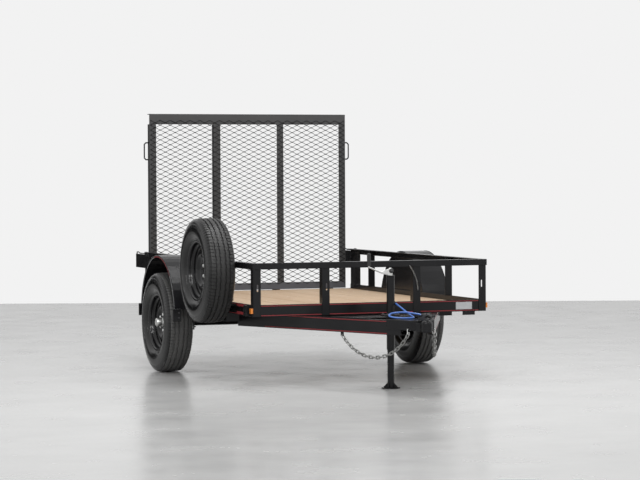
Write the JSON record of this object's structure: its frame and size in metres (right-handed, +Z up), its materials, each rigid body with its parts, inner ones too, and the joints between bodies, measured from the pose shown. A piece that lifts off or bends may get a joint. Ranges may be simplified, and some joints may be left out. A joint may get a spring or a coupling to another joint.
{
  "type": "utility trailer",
  "caption": "Open utility trailer with a planked bed, angle rails, an upright mesh ramp gate, a side-mounted spare, an A-frame tongue and a jack.",
  "frame": {"origin": "on the ground under the middle of the overall box, on the trailer's centre line", "axes": "+Z up, +Y rearwards from the tongue to the gate, +X to the right side as seen from the front"},
  "size_m": [2.075, 3.586, 1.814],
  "materials": {
    "black_paint": "gloss",
    "pine": "matte",
    "tyre": "matte",
    "wheel_paint": "gloss",
    "zinc": "satin",
    "chrome": "polished",
    "dark_steel": "satin",
    "grip": "matte",
    "amber_lens": "gloss",
    "red_lens": "gloss",
    "cord_jacket": "satin"
  },
  "bodies": {
    "chassis": {"axle": "black_paint", "chain_hooks": "zinc", "coupler": "black_paint", "coupler_latch": "dark_steel", "crank_grip": "grip", "cross_members": "black_paint", "deck_boards": "pine", "fender_left": "black_paint", "fender_right": "black_paint", "frame_end_rails": "black_paint", "frame_side_rails": "black_paint", "front_posts": "black_paint", "gate_guards": "black_paint", "hinge_lugs": "black_paint", "jack_crank": "zinc", "jack_plate": "black_paint", "jack_tube": "black_paint", "leaf_springs": "dark_steel", "rim_spare": "wheel_paint", "safety_chain_left": "zinc", "safety_chain_right": "zinc", "side_markers": "amber_lens", "side_posts": "black_paint", "spare_carrier": "black_paint", "spring_hangers": "black_paint", "stake_pockets": "black_paint", "tail_lamp_boxes": "black_paint", "tail_lamps": "red_lens", "tongue_beams": "black_paint", "top_rail_front": "black_paint", "top_rail_left": "black_paint", "top_rail_right": "black_paint", "tyre_spare": "tyre", "u_bolts": "dark_steel", "wiring_cord": "cord_jacket", "wiring_plug": "grip"},
    "wheel_left": {"hub_left": "chrome", "rim_left": "wheel_paint", "tyre_left": "tyre"},
    "wheel_right": {"hub_right": "chrome", "rim_right": "wheel_paint", "tyre_right": "tyre"},
    "gate": {"gate_bottom_bar": "black_paint", "gate_handles": "black_paint", "gate_hinge_barrels": "black_paint", "gate_mesh": "black_paint", "gate_stiles": "black_paint", "gate_top_bar": "black_paint"},
    "jack_leg": {"jack_foot": "black_paint", "jack_leg": "black_paint"}
  },
  "joints": [
    {"name": "wheel_left_spin", "type": "hinge", "parent": "chassis", "child": "wheel_left", "pos_m": [-0.935, 0.64, 0.344], "axis": [1, 0, 0], "continuous": true},
    {"name": "wheel_right_spin", "type": "hinge", "parent": "chassis", "child": "wheel_right", "pos_m": [0.935, 0.64, 0.344], "axis": [1, 0, 0], "continuous": true},
    {"name": "gate_hinge", "type": "hinge", "parent": "chassis", "child": "gate", "pos_m": [0, 1.606, 0.487], "axis": [-1, 0, 0], "range_deg": [0, 110]},
    {"name": "jack_slide", "type": "slide", "parent": "chassis", "child": "jack_leg", "axis": [0, 0, 1], "range_m": [0, 0.2]}
  ]
}
